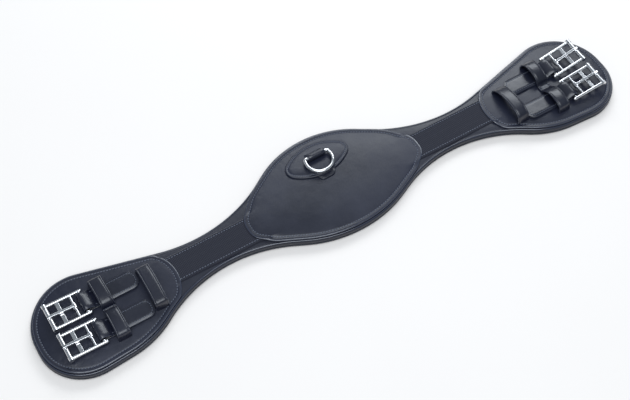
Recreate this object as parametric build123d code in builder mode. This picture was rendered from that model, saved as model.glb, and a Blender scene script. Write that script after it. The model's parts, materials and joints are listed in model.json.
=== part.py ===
from build123d import *
import os

# Padded leather saddle girth: two roller buckles at each end, keepers for the strap ends,
# a webbing load strap and a dee ring for a breastplate.
# X runs along the girth, +Y is the front edge with the dee ring, Z is up and the lining
# lies on Z = 0. Lengths are in millimetres, angles in degrees.

# ---- padded body -------------------------------------------------------------------
# The plan is a polygon with generously rounded corners. A corner is (x, y, radius): x is
# measured from the middle, or from the end where it is negative.
GIRTH_LENGTH = 711.0        # overall, 28 inches
FRONT_CORNERS = [(33.4, 69.3, 112.0), (132.0, 5.5, 164.0), (-40.3, 51.8, 54.0), (0.0, 14.7, 56.0)]
REAR_CORNERS = [(31.9, -59.8, 138.0), (150.9, -3.0, 154.0), (-107.2, -65.8, 104.0), (0.0, -72.6, 50.0)]
LOBE_MID_Y = -13.5          # middle line of both buckle ends

LINING_THICK = 1.6
BODY_THICK = 10.0
COVER_TOP_THICK = 1.6
COVER_WALL = 2.2
BODY_EDGE_RADIUS = 2.4
LINING_EDGE_RADIUS = 1.2
SEAL_GAP = 0.2              # room round foam that is sealed inside leather

# ---- webbing -----------------------------------------------------------------------
WEB_WIDTH = 34.0
WEB_THICK = 1.4
WEB_HALF_LENGTH = GIRTH_LENGTH / 2 - 91.5
WEB_MID_Y = -4.5
WEB_GAP = 0.1

# ---- padded panels -----------------------------------------------------------------
PANEL_MARGIN = 2.6          # from the body's edge to the panel's edge
PANEL_RIM_THICK = 2.2
PANEL_RIM_WIDTH = 6.5
PANEL_SKIN = 1.7
CENTRE_TOP = BODY_THICK + 5.0
CENTRE_PANEL_HALF = 108.0
CENTRE_FRONT_CORNERS = [
    (31.8, FRONT_CORNERS[0][1] - PANEL_MARGIN - 0.3, 110.0),
    (86.3, 33.4, 76.0),
    (0.0, 8.1, 23.0),
]
CENTRE_REAR_CORNERS = [
    (31.9, REAR_CORNERS[0][1] + PANEL_MARGIN, 136.0),
    (89.2, -29.9, 38.0),
    (0.0, -13.5, 18.0),
]
END_TOP = BODY_THICK + 4.0
END_PANEL_X = GIRTH_LENGTH / 2 - 160.5      # inner end of each end panel
END_PANEL_ARC = 42.0
END_PANEL_FRONT_Y = 24.2    # corners of the polygon round the inner end
END_PANEL_REAR_Y = -36.2
END_PANEL_FLARE = (46.0, 84.0)              # how far its two sides spread over their length
END_PANEL_CORNER = 8.0

# ---- dee ring ----------------------------------------------------------------------
DEE_BAR_Y = 37.5
DEE_WIRE = 4.0
DEE_BAR_HALF = 14.2
DEE_WAIST_HALF = 16.0
DEE_WAIST_DROP = 11.0
DEE_FOOT_HALF = 7.6
DEE_DROP = 22.0
DEE_ROUND = 14.5            # radius of its bow
PATCH_MID_Y = 35.5
PATCH_HALF_LENGTH = 43.0
PATCH_HALF_WIDTH = 21.5
PATCH_CORNER = 12.0
PATCH_THICK = 1.6
DEE_CHAPE_WIDTH = 21.0
DEE_CHAPE_THICK = 1.6
DEE_CHAPE_TAIL = 7.0
TAB_WIDTH = 21.0
TAB_LENGTH = 12.0
TAB_END_Y = PATCH_MID_Y - PATCH_HALF_WIDTH - 5.5
TAB_THICK = 1.3
TAB_GAP = 0.1

# ---- buckles (own frame: inner bar at the origin, +X outward) -------------------------
BAR_X = GIRTH_LENGTH / 2 - 62.0             # inner bars, from the girth's middle
BUCKLE_REACH = 39.5         # inner bar to the outer edge
BUCKLE_INNER_WIDTH = 24.5
SIDE_RADIUS = 1.75
BUCKLE_SPACING = BUCKLE_INNER_WIDTH + 4 * SIDE_RADIUS + 6.0     # between an end's two buckles
SIDE_TIP = 4.0              # side bars' ends, past the inner bar
KNUCKLE_LENGTH = 4.4
INNER_BAR_RADIUS = 1.8
TONGUE_BAR_RADIUS = 1.5
TONGUE_BAR_X = BUCKLE_REACH - 30.0
CROSS_BAR_X = BUCKLE_REACH - 15.5
CROSS_BAR_WIDTH = 4.4
CROSS_BAR_THICK = 1.9
CROSS_BAR_TOP = 0.4
ROD_RADIUS = 1.3
ROLLER_RADIUS = 2.4
KNUCKLE_RADIUS = ROLLER_RADIUS + 0.35
ROLLER_END_GAP = 0.3
TONGUE_WIDTH = 3.0
TONGUE_THICK = 1.8
TONGUE_EYE_WALL = 1.3
TONGUE_EYE_WIDTH = 5.2
TONGUE_ROUNDING = 0.6       # along the blade's upper edges
TONGUE_OVERHANG = 2.2       # past the roller's axis
REST_GAP = 0.25             # tongue above roller
RUNNING_GAP = 0.06          # radial, bars in eyes and rollers
# How far each buckle stands up at rest.
TILT = {"left": {"front": 2.0, "rear": 2.0}, "right": {"front": 12.0, "rear": 7.0}}

# ---- buckle chapes -----------------------------------------------------------------
CHAPE_WIDTH = BUCKLE_INNER_WIDTH - 3.0
CHAPE_LAYER = 1.1
CHAPE_WALL = 2.3            # leather round the inner bar
CHAPE_LENGTH = 60.0         # inner bar to the tail's tip
CHAPE_TIP_RADIUS = 9.0
CHAPE_SLOPE = 14.0          # length over which the fold comes down to the tail
BAR_HEIGHT = INNER_BAR_RADIUS + RUNNING_GAP + CHAPE_WALL + 0.2

# ---- keepers -----------------------------------------------------------------------
KEEPER_WIDTH = 14.5
KEEPER_THICK = 1.8
KEEPER_FOOT = 4.0
KEEPER_MIDDLE = 6.0         # stitched-down middle of the double keeper
KEEPER_LEAN = 2.2
KEEPER_CORNER = 4.5
KEEPER_FOOT_CORNER = 1.2
OUTER_KEEPER_X = BAR_X - 20.0
OUTER_KEEPER_SPAN = BUCKLE_SPACING + CHAPE_WIDTH + 19.5
INNER_KEEPER_X = BAR_X - CHAPE_LENGTH - KEEPER_WIDTH / 2 - 0.75
INNER_KEEPER_SPAN = BUCKLE_SPACING + 14.5
KEEPER_RISE = {"left": 2 * CHAPE_LAYER + 8.4, "right": 2 * CHAPE_LAYER + 10.8}

ENDS = {"left": -1, "right": 1}
SIDES = {"front": 1, "rear": -1}

os.makedirs("parts", exist_ok=True)


def save(piece, name):
    """Label a finished piece and write it as its own file."""
    piece.part.label = name
    export_step(piece.part, f"parts/{name}.step")


def rounded_plan(half, front, rear, inset=0.0):
    """A plan shape of four mirrored rows of rounded corners, shrunk by inset."""
    row = [(x if x > 0 else half + x, y, r) for x, y, r in front]
    row += [(x if x > 0 else half + x, y, r) for x, y, r in reversed(rear)]
    row += [(-x, y, r) for x, y, r in reversed(row)]
    with BuildSketch() as plan:
        with BuildLine():
            FilletPolyline(*[(x, y) for x, y, r in row], radius=[r for x, y, r in row], close=True)
        make_face()
        if inset:
            offset(amount=-inset, mode=Mode.REPLACE)
    return plan.sketch


def body_plan(inset=0.0):
    """The body's plan shape, shrunk by inset."""
    return rounded_plan(GIRTH_LENGTH / 2, FRONT_CORNERS, REAR_CORNERS, inset)


def centre_panel_plan(inset=0.0):
    """The centre panel's leaf shape, shrunk by inset."""
    return rounded_plan(CENTRE_PANEL_HALF, CENTRE_FRONT_CORNERS, CENTRE_REAR_CORNERS, inset)


def end_panel_plan(side, inset=0.0):
    """One end panel's plan shape: the body's edge, closed by a round end towards the middle."""
    with BuildSketch() as bullet:
        with BuildLine():
            FilletPolyline(
                (END_PANEL_X, END_PANEL_FRONT_Y),
                (END_PANEL_X, END_PANEL_REAR_Y),
                (END_PANEL_X + 180.0, END_PANEL_REAR_Y - END_PANEL_FLARE[1]),
                (END_PANEL_X + 180.0, END_PANEL_FRONT_Y + END_PANEL_FLARE[0]),
                radius=[END_PANEL_ARC, END_PANEL_ARC, 2.0, 2.0],
                close=True,
            )
        make_face()
        if inset:
            offset(amount=-inset, mode=Mode.REPLACE)
    outline = body_plan(PANEL_MARGIN + inset)
    with BuildSketch() as plan:
        add(outline)
        add(bullet.sketch, mode=Mode.INTERSECT)
        corners = [
            corner for corner in plan.vertices()
            if outline.wire().distance_to(corner) < 0.01 and bullet.wire().distance_to(corner) < 0.01
        ]
        fillet(corners, radius=END_PANEL_CORNER)
        if side < 0:
            mirror(about=Plane.YZ, mode=Mode.REPLACE)
    return plan.sketch


def patch_plan(grow=0.0):
    """Leaf-shaped dee patch: two arcs whose corners are rounded."""
    with BuildSketch() as plan:
        with BuildLine():
            left = (-PATCH_HALF_LENGTH, PATCH_MID_Y)
            right = (PATCH_HALF_LENGTH, PATCH_MID_Y)
            ThreePointArc(left, (0, PATCH_MID_Y + PATCH_HALF_WIDTH), right)
            ThreePointArc(right, (0, PATCH_MID_Y - PATCH_HALF_WIDTH), left)
        make_face()
        fillet(plan.vertices(), radius=PATCH_CORNER)
        if grow:
            offset(amount=grow, mode=Mode.REPLACE)
    return plan.sketch


def top_edges(part, height):
    """Edges of a part that lie at one height."""
    return part.edges().filter_by_position(Axis.Z, height - 0.01, height + 0.01)


# ---- padded body ---------------------------------------------------------------------
with BuildPart() as lining:
    with BuildSketch():
        add(body_plan())
    extrude(amount=LINING_THICK)
    fillet(top_edges(lining.part, 0), radius=LINING_EDGE_RADIUS)
save(lining, "lining")

with BuildPart() as base_cover:
    with BuildSketch(Plane.XY.offset(LINING_THICK)):
        add(body_plan())
    extrude(amount=BODY_THICK - LINING_THICK)
    fillet(top_edges(base_cover.part, BODY_THICK), radius=BODY_EDGE_RADIUS)
    with BuildSketch(Plane.XY.offset(LINING_THICK)):
        add(body_plan(COVER_WALL))
    extrude(amount=BODY_THICK - LINING_THICK - COVER_TOP_THICK, mode=Mode.SUBTRACT)
save(base_cover, "base_cover")

with BuildPart() as foam_core:
    with BuildSketch(Plane.XY.offset(LINING_THICK + SEAL_GAP / 2)):
        add(body_plan(COVER_WALL + SEAL_GAP))
    extrude(amount=BODY_THICK - LINING_THICK - COVER_TOP_THICK - SEAL_GAP)
save(foam_core, "foam_core")

with BuildPart() as webbing_strap:
    with BuildSketch(Plane.XY.offset(BODY_THICK)):
        with Locations((0, WEB_MID_Y)):
            Rectangle(2 * WEB_HALF_LENGTH, WEB_WIDTH)
    extrude(amount=WEB_THICK)
save(webbing_strap, "webbing_strap")

# The channel that every panel leaves for the webbing.
with BuildPart() as web_channel:
    with BuildSketch(Plane.XY.offset(BODY_THICK)):
        with Locations((0, WEB_MID_Y)):
            Rectangle(2 * (WEB_HALF_LENGTH + WEB_GAP), WEB_WIDTH + 2 * WEB_GAP)
    extrude(amount=WEB_THICK + WEB_GAP)

# ---- centre panel ----------------------------------------------------------------------
rim_top = BODY_THICK + PANEL_RIM_THICK
with BuildPart() as centre_panel:
    with BuildSketch(Plane.XY.offset(BODY_THICK)):
        add(centre_panel_plan())
    extrude(amount=PANEL_RIM_THICK)
    with BuildSketch(Plane.XY.offset(rim_top)):
        add(centre_panel_plan(PANEL_RIM_WIDTH))
    extrude(amount=CENTRE_TOP - rim_top)
    with BuildSketch(Plane.XY.offset(BODY_THICK)):
        add(centre_panel_plan(PANEL_RIM_WIDTH + PANEL_SKIN))
    extrude(amount=CENTRE_TOP - PANEL_SKIN - BODY_THICK, mode=Mode.SUBTRACT)
    add(web_channel.part, mode=Mode.SUBTRACT)
save(centre_panel, "centre_panel")

with BuildPart() as centre_padding:
    with BuildSketch(Plane.XY.offset(BODY_THICK)):
        add(centre_panel_plan(PANEL_RIM_WIDTH + PANEL_SKIN + SEAL_GAP))
    extrude(amount=CENTRE_TOP - PANEL_SKIN - BODY_THICK - SEAL_GAP)
    add(web_channel.part, mode=Mode.SUBTRACT)
save(centre_padding, "centre_padding")

# ---- end panels --------------------------------------------------------------------------
for end, side in ENDS.items():
    with BuildPart() as end_panel:
        with BuildSketch(Plane.XY.offset(BODY_THICK)):
            add(end_panel_plan(side))
        extrude(amount=PANEL_RIM_THICK)
        with BuildSketch(Plane.XY.offset(rim_top)):
            add(end_panel_plan(side, PANEL_RIM_WIDTH))
        extrude(amount=END_TOP - rim_top)
        with BuildSketch(Plane.XY.offset(BODY_THICK)):
            add(end_panel_plan(side, PANEL_RIM_WIDTH + PANEL_SKIN))
        extrude(amount=END_TOP - PANEL_SKIN - BODY_THICK, mode=Mode.SUBTRACT)
        add(web_channel.part, mode=Mode.SUBTRACT)
    save(end_panel, f"end_panel_{end}")

    with BuildPart() as end_padding:
        with BuildSketch(Plane.XY.offset(BODY_THICK)):
            add(end_panel_plan(side, PANEL_RIM_WIDTH + PANEL_SKIN + SEAL_GAP))
        extrude(amount=END_TOP - PANEL_SKIN - BODY_THICK - SEAL_GAP)
        add(web_channel.part, mode=Mode.SUBTRACT)
    save(end_padding, f"end_padding_{end}")

# ---- dee patch, tab, chape and ring --------------------------------------------------------
with BuildPart() as dee_patch:
    with BuildSketch(Plane.XY.offset(CENTRE_TOP)):
        add(patch_plan())
    extrude(amount=PATCH_THICK)
    fillet(top_edges(dee_patch.part, CENTRE_TOP + PATCH_THICK), radius=0.5)
save(dee_patch, "dee_patch")

with BuildPart() as dee_tab:
    with BuildSketch(Plane.XY.offset(CENTRE_TOP)):
        with Locations((0, TAB_END_Y + TAB_LENGTH / 2)):
            RectangleRounded(TAB_WIDTH, TAB_LENGTH, TAB_LENGTH / 2 - 0.5)
        add(patch_plan(TAB_GAP), mode=Mode.SUBTRACT)
    extrude(amount=TAB_THICK)
save(dee_tab, "dee_tab")

dee_eye = DEE_WIRE / 2 + RUNNING_GAP
dee_loop = dee_eye + DEE_CHAPE_THICK
dee_bar_z = CENTRE_TOP + PATCH_THICK + dee_loop
with BuildPart() as dee_chape:
    with BuildSketch(Plane.YZ):
        with BuildLine():
            Polyline(
                (DEE_BAR_Y, dee_bar_z + dee_loop),
                (DEE_BAR_Y + dee_loop, dee_bar_z + 0.62 * dee_loop),
                (DEE_BAR_Y + 0.85 * DEE_CHAPE_TAIL, dee_bar_z - 0.72 * dee_loop),
                (DEE_BAR_Y + DEE_CHAPE_TAIL, dee_bar_z - 0.8 * dee_loop),
                (DEE_BAR_Y + DEE_CHAPE_TAIL, dee_bar_z - dee_loop),
                (DEE_BAR_Y, dee_bar_z - dee_loop),
                close=True,
            )
        make_face()
        with Locations((DEE_BAR_Y, dee_bar_z)):
            Circle(dee_loop)
            Circle(dee_eye, mode=Mode.SUBTRACT)
    extrude(amount=DEE_CHAPE_WIDTH / 2, both=True)
save(dee_chape, "dee_chape")

with BuildPart() as dee_ring:
    with BuildLine(Plane.XY.offset(dee_bar_z)) as dee_path:
        foot_y = DEE_BAR_Y - DEE_DROP
        waist_y = DEE_BAR_Y - DEE_WAIST_DROP
        FilletPolyline(
            (DEE_BAR_HALF, DEE_BAR_Y),
            (DEE_WAIST_HALF, waist_y),
            (DEE_FOOT_HALF, foot_y),
            (-DEE_FOOT_HALF, foot_y),
            (-DEE_WAIST_HALF, waist_y),
            (-DEE_BAR_HALF, DEE_BAR_Y),
            radius=[2.5, DEE_ROUND, DEE_ROUND, DEE_ROUND, DEE_ROUND, 2.5],
            close=True,
        )
    dee_wire = dee_path.wires()[0]
    with BuildSketch(Plane(origin=dee_wire @ 0, z_dir=dee_wire % 0)):
        Circle(DEE_WIRE / 2)
    sweep()
save(dee_ring, "dee_ring")

# ---- one buckle, in its own frame ------------------------------------------------------------
side_y = BUCKLE_INNER_WIDTH / 2 + SIDE_RADIUS
roller_x = BUCKLE_REACH - KNUCKLE_RADIUS
with BuildPart() as buckle_frame:
    with BuildSketch(Plane.YZ.offset(SIDE_RADIUS - SIDE_TIP)):
        with Locations((side_y, 0), (-side_y, 0)):
            Circle(SIDE_RADIUS)
    extrude(amount=roller_x - SIDE_RADIUS + SIDE_TIP)
    with Locations((SIDE_RADIUS - SIDE_TIP, side_y, 0), (SIDE_RADIUS - SIDE_TIP, -side_y, 0)):
        Sphere(SIDE_RADIUS)
    with Locations((roller_x, side_y, 0), (roller_x, -side_y, 0)):
        Cylinder(KNUCKLE_RADIUS, KNUCKLE_LENGTH, rotation=(90, 0, 0))
    with BuildSketch(Plane.XZ):
        Circle(INNER_BAR_RADIUS)
        with Locations((TONGUE_BAR_X, 0)):
            Circle(TONGUE_BAR_RADIUS)
        with Locations((roller_x, 0)):
            Circle(ROD_RADIUS)
        with Locations((CROSS_BAR_X, CROSS_BAR_TOP - CROSS_BAR_THICK / 2)):
            RectangleRounded(CROSS_BAR_WIDTH, CROSS_BAR_THICK, 0.6)
    extrude(amount=side_y, both=True)

with BuildPart() as tongue:
    eye_radius = TONGUE_BAR_RADIUS + RUNNING_GAP
    blade_z = ROLLER_RADIUS + REST_GAP
    tip_x = roller_x + TONGUE_OVERHANG
    heel_z = eye_radius + TONGUE_EYE_WALL
    with BuildSketch(Plane.XZ):
        with BuildLine():
            Polyline(
                (TONGUE_BAR_X, heel_z),
                (TONGUE_BAR_X, heel_z - TONGUE_THICK),
                (CROSS_BAR_X, blade_z - 0.9),
                (roller_x - 2.6, blade_z),
                (tip_x, blade_z),
                (tip_x, blade_z + 0.7 * TONGUE_THICK),
                (roller_x - 1.6, blade_z + TONGUE_THICK),
                (CROSS_BAR_X, blade_z - 0.7 + TONGUE_THICK),
                close=True,
            )
        make_face()
    extrude(amount=TONGUE_WIDTH / 2, both=True)
    upper_edges = [
        edge for edge in tongue.edges().filter_by(Axis.Y, reverse=True).filter_by(Axis.Z, reverse=True)
        if edge.center().Z > blade_z + 0.1
    ]
    fillet(upper_edges, radius=TONGUE_ROUNDING)
    with BuildSketch(Plane.XZ):
        with Locations((TONGUE_BAR_X, 0)):
            Circle(heel_z)
    extrude(amount=TONGUE_EYE_WIDTH / 2, both=True)
    with BuildSketch(Plane.XZ):
        with Locations((TONGUE_BAR_X, 0)):
            Circle(eye_radius)
    extrude(amount=TONGUE_EYE_WIDTH / 2, both=True, mode=Mode.SUBTRACT)

with BuildPart() as roller:
    with BuildSketch(Plane.XZ):
        with Locations((roller_x, 0)):
            Circle(ROLLER_RADIUS)
            Circle(ROD_RADIUS + RUNNING_GAP, mode=Mode.SUBTRACT)
    extrude(amount=side_y - KNUCKLE_LENGTH / 2 - ROLLER_END_GAP, both=True)

tail_top = 2 * CHAPE_LAYER - BAR_HEIGHT
chape_loop = INNER_BAR_RADIUS + RUNNING_GAP + CHAPE_WALL
with BuildPart() as chape:
    with BuildSketch(Plane.XZ):
        with BuildLine():
            Polyline(
                (-CHAPE_LENGTH, -BAR_HEIGHT),
                (0, -BAR_HEIGHT),
                (0, chape_loop),
                (-0.35 * CHAPE_SLOPE, 0.72 * chape_loop),
                (-0.8 * CHAPE_SLOPE, tail_top + 0.5),
                (-CHAPE_SLOPE, tail_top),
                (-CHAPE_LENGTH, tail_top),
                close=True,
            )
        make_face()
        Circle(chape_loop)
        Circle(INNER_BAR_RADIUS + RUNNING_GAP, mode=Mode.SUBTRACT)
    extrude(amount=CHAPE_WIDTH / 2, both=True)
    tip_edges = chape.edges().filter_by(Axis.Z).group_by(Axis.X)[0]
    fillet(tip_edges, radius=CHAPE_TIP_RADIUS)

# ---- the four buckles and their chapes --------------------------------------------------------
for end, side in ENDS.items():
    for edge, edge_sign in SIDES.items():
        y = LOBE_MID_Y + edge_sign * BUCKLE_SPACING / 2
        turn = 0 if side > 0 else 180
        seat = Location((side * BAR_X, y, END_TOP + BAR_HEIGHT), (0, 0, turn))
        raised = seat * Location((0, 0, 0), (0, -TILT[end][edge], 0))
        masters = {
            "chape": (chape, seat),
            "buckle_frame": (buckle_frame, raised),
            "buckle_tongue": (tongue, raised),
            "buckle_roller": (roller, raised),
        }
        for kind, (master, place) in masters.items():
            with BuildPart() as copy:
                with Locations(place):
                    add(master.part)
            save(copy, f"{kind}_{end}_{edge}")

# ---- keepers ------------------------------------------------------------------------------------
for end, side in ENDS.items():
    low = END_TOP + KEEPER_THICK / 2
    high = END_TOP + KEEPER_RISE[end] - KEEPER_THICK / 2
    half_span = OUTER_KEEPER_SPAN / 2
    double_loop = [(LOBE_MID_Y - half_span, low)]
    for loop_sign in (-1, 1):
        inner_y = loop_sign * KEEPER_MIDDLE / 2
        outer_y = loop_sign * (half_span - KEEPER_FOOT)
        start, stop = sorted((inner_y, outer_y))
        double_loop += [
            (LOBE_MID_Y + start, low),
            (LOBE_MID_Y + start + KEEPER_LEAN, high),
            (LOBE_MID_Y + stop - KEEPER_LEAN, high),
            (LOBE_MID_Y + stop, low),
        ]
    double_loop += [(LOBE_MID_Y + half_span, low)]
    corners = [KEEPER_FOOT_CORNER, KEEPER_CORNER, KEEPER_CORNER, KEEPER_FOOT_CORNER]
    with BuildPart() as double_keeper:
        with BuildSketch(Plane.YZ.offset(side * OUTER_KEEPER_X)):
            with BuildLine():
                FilletPolyline(*double_loop, radius=corners * 2)
            trace(line_width=KEEPER_THICK)
        extrude(amount=KEEPER_WIDTH / 2, both=True)
    save(double_keeper, f"double_keeper_{end}")

    half_span = INNER_KEEPER_SPAN / 2
    foot_y = half_span - KEEPER_FOOT
    with BuildPart() as inner_keeper:
        with BuildSketch(Plane.YZ.offset(side * INNER_KEEPER_X)):
            with BuildLine():
                FilletPolyline(
                    (LOBE_MID_Y - half_span, low),
                    (LOBE_MID_Y - foot_y, low),
                    (LOBE_MID_Y - foot_y + KEEPER_LEAN, high),
                    (LOBE_MID_Y + foot_y - KEEPER_LEAN, high),
                    (LOBE_MID_Y + foot_y, low),
                    (LOBE_MID_Y + half_span, low),
                    radius=corners,
                )
            trace(line_width=KEEPER_THICK)
        extrude(amount=KEEPER_WIDTH / 2, both=True)
    save(inner_keeper, f"inner_keeper_{end}")
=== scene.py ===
import json
import math

import bmesh
import bpy
import numpy as np
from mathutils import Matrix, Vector, geometry
from mathutils.bvhtree import BVHTree


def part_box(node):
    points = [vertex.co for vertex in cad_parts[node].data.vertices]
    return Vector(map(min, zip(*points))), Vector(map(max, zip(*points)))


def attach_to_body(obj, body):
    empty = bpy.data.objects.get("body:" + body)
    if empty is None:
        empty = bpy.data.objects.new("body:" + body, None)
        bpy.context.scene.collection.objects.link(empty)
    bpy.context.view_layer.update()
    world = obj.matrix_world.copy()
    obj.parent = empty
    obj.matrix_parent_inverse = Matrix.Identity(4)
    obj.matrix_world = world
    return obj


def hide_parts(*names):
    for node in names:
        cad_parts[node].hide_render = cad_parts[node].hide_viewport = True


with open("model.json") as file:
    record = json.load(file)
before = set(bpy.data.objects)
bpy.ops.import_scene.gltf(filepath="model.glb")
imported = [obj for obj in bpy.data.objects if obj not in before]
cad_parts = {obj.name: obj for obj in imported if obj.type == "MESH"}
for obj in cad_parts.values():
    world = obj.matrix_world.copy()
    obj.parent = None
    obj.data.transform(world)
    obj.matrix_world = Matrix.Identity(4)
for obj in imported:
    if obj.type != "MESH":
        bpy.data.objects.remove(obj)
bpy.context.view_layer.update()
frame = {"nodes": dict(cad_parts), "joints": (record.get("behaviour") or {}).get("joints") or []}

MM = 0.001
RNG = np.random.default_rng(7)


def low(node, axis):
    """Lower bound of a node's box along an axis, in millimetres."""
    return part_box(node)[0][axis] / MM


def high(node, axis):
    """Upper bound of a node's box along an axis, in millimetres."""
    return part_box(node)[1][axis] / MM


# ---- sizes the frame gives ----------------------------------------------------------
HALF_LENGTH = high("lining", 0)
COVER_TOP = high("base_cover", 2)
WEB_TOP = high("webbing_strap", 2)
WEB_HALF = high("webbing_strap", 0)
WEB_FRONT, WEB_REAR = high("webbing_strap", 1), low("webbing_strap", 1)
WEB_MID = (WEB_FRONT + WEB_REAR) / 2
CENTRE_TOP = high("centre_panel", 2)
CENTRE_HALF = high("centre_panel", 0)
END_TOP = high("end_panel_left", 2)
END_PANEL_X = low("end_panel_right", 0)
PATCH_HALF = high("dee_patch", 0)
PATCH_FRONT, PATCH_REAR = high("dee_patch", 1), low("dee_patch", 1)
HINGES = {j["name"]: np.array(j["pos_m"]) / MM for j in frame["joints"]}
CHAPES = [n for n in frame["nodes"] if n.startswith("chape_")]
LOBE_MID = (HINGES["buckle_fold_left_front"][1] + HINGES["buckle_fold_left_rear"][1]) / 2
ENDS = {"left": -1, "right": 1}

# ---- plan shapes: polygons with rounded corners, (x, y, radius) ---------------------
# x is measured from the middle, or from the end where it is not positive.
BODY_FRONT = [(33.4, 69.3, 112.0), (132.0, 5.5, 164.0), (-40.3, 51.8, 54.0), (0.0, 14.7, 56.0)]
BODY_REAR = [(31.9, -59.8, 138.0), (150.9, -3.0, 154.0), (-107.2, -65.8, 104.0), (0.0, -72.6, 50.0)]
CENTRE_FRONT = [(31.8, 66.4, 110.0), (86.3, 33.4, 76.0), (0.0, 8.1, 23.0)]
CENTRE_REAR = [(31.9, -57.2, 136.0), (89.2, -29.9, 38.0), (0.0, -13.5, 18.0)]
PANEL_MARGIN = 2.6

# An end panel's inner end, x measured from that end. The far corners lie outside the body.
END_BULLET = [(0, 24.2, 42.0), (0, -36.2, 42.0), (180, -120.2, 2.0), (180, 70.2, 2.0)]
END_HUB = (60, -10.0)
END_OVERLAP = 20
END_RAYS = 720
END_BLEND_RAYS = 14
END_BLEND_WIDTH = 5.5

STITCH_PITCH = 3.1
STITCH_INSET = 4.6
STITCH_SIZE = (1.95, 0.5)

ARC_POINTS = 40
FAR = 1e9


# ======================================================================================
# Curves
# ======================================================================================
def even(points, step, closed=True):
    """The same polyline with evenly spaced points."""
    points = np.asarray(points, float)
    run = np.vstack([points, points[:1]]) if closed else points
    lengths = np.concatenate([[0], np.cumsum(np.linalg.norm(np.diff(run, axis=0), axis=1))])
    count = max(3, int(round(lengths[-1] / step)))
    stops = np.linspace(0, lengths[-1], count + 1)
    stops = stops[:-1] if closed else stops
    return np.column_stack([np.interp(stops, lengths, run[:, k]) for k in range(run.shape[1])])


def rounded_loop(corners, step):
    """Even points round a closed polygon whose corners are arcs, anticlockwise."""
    points = []
    for i, (x, y, radius) in enumerate(corners):
        corner = np.array([x, y])
        back = np.array(corners[i - 1][:2]) - corner
        ahead = np.array(corners[(i + 1) % len(corners)][:2]) - corner
        back, ahead = back / np.linalg.norm(back), ahead / np.linalg.norm(ahead)
        half_angle = math.acos(np.clip(back @ ahead, -1, 1)) / 2
        bisector = (back + ahead) / np.linalg.norm(back + ahead)
        centre = corner + bisector * radius / math.sin(half_angle)
        start = corner + back * radius / math.tan(half_angle) - centre
        stop = corner + ahead * radius / math.tan(half_angle) - centre
        first = math.atan2(start[1], start[0])
        turn = (math.atan2(stop[1], stop[0]) - first + math.pi) % (2 * math.pi) - math.pi
        for share in np.linspace(0, 1, ARC_POINTS):
            angle = first + turn * share
            points.append(centre + radius * np.array([math.cos(angle), math.sin(angle)]))
    return even(anticlockwise(np.array(points)), step)


def anticlockwise(points):
    """The closed loop's points in anticlockwise order."""
    x, y = points[:, 0], points[:, 1]
    area = np.sum(x * np.roll(y, -1) - y * np.roll(x, -1))
    return points if area > 0 else points[::-1]


def mirrored_loop(half, front, rear, step):
    """Closed loop from the right half's front and rear corners."""
    row = [(x if x > 0 else half + x, y, r) for x, y, r in front]
    row += [(x if x > 0 else half + x, y, r) for x, y, r in reversed(rear)]
    row += [(-x, y, r) for x, y, r in reversed(row)]
    return rounded_loop(row, step)


def inset_loop(loop, inset):
    """The loop moved inward by inset, point for point."""
    ahead = np.roll(loop, -1, axis=0) - np.roll(loop, 1, axis=0)
    ahead /= np.linalg.norm(ahead, axis=1)[:, None]
    return loop + inset * np.column_stack([-ahead[:, 1], ahead[:, 0]])


def reach_of(loop, hub, thetas):
    """How far a closed loop lies from the hub in each direction."""
    away = loop - hub
    angles = np.arctan2(away[:, 1], away[:, 0])
    order = np.argsort(angles)
    lengths = np.linalg.norm(away, axis=1)
    return np.interp(thetas, angles[order], lengths[order], period=2 * math.pi)


def end_loop(side, step):
    """Edge of one end panel: the body's edge, closed by a round end towards the middle."""
    body = inset_loop(mirrored_loop(HALF_LENGTH, BODY_FRONT, BODY_REAR, 1.0), PANEL_MARGIN)
    body = body[body[:, 0] > END_PANEL_X - END_OVERLAP]
    bullet = rounded_loop([(END_PANEL_X + x, y, radius) for x, y, radius in END_BULLET], 1.0)
    hub = np.array([END_PANEL_X + END_HUB[0], END_HUB[1]])
    thetas = np.linspace(-math.pi, math.pi, END_RAYS + 1)[:-1]
    reach = np.minimum(reach_of(body, hub, thetas), reach_of(bullet, hub, thetas))
    window = np.arange(-END_BLEND_RAYS, END_BLEND_RAYS + 1)
    kernel = np.exp(-0.5 * (window / END_BLEND_WIDTH) ** 2)
    wrapped = np.concatenate([reach[-END_BLEND_RAYS:], reach, reach[:END_BLEND_RAYS]])
    reach = np.convolve(wrapped, kernel / kernel.sum(), mode="valid")
    loop = hub + np.column_stack([np.cos(thetas), np.sin(thetas)]) * reach[:, None]
    loop[:, 0] *= side
    return even(anticlockwise(loop), step)


def leaf_loop(half, front, rear, step, tip=12.0):
    """Leaf of two arcs whose tips are rounded, its length along X."""
    middle, rise = (front + rear) / 2, (front - rear) / 2
    tip_x = half - tip
    radius = (tip_x ** 2 + rise ** 2 - tip ** 2) / (2 * (rise - tip))
    lean = math.atan2(radius - rise, tip_x)
    points = []
    for turn in (0, math.pi):
        tip_angles = np.linspace(-lean, lean, 30) + turn
        tip_hub = np.array([tip_x * math.cos(turn), middle])
        points += [tip_hub + tip * np.array([math.cos(a), math.sin(a)]) for a in tip_angles]
        arc_angles = np.linspace(lean, math.pi - lean, 60) + turn
        arc_hub = np.array([0.0, middle - (radius - rise) * math.cos(turn)])
        points += [arc_hub + radius * np.array([math.cos(a), math.sin(a)]) for a in arc_angles]
    return even(anticlockwise(np.array(points)), step)


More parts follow.
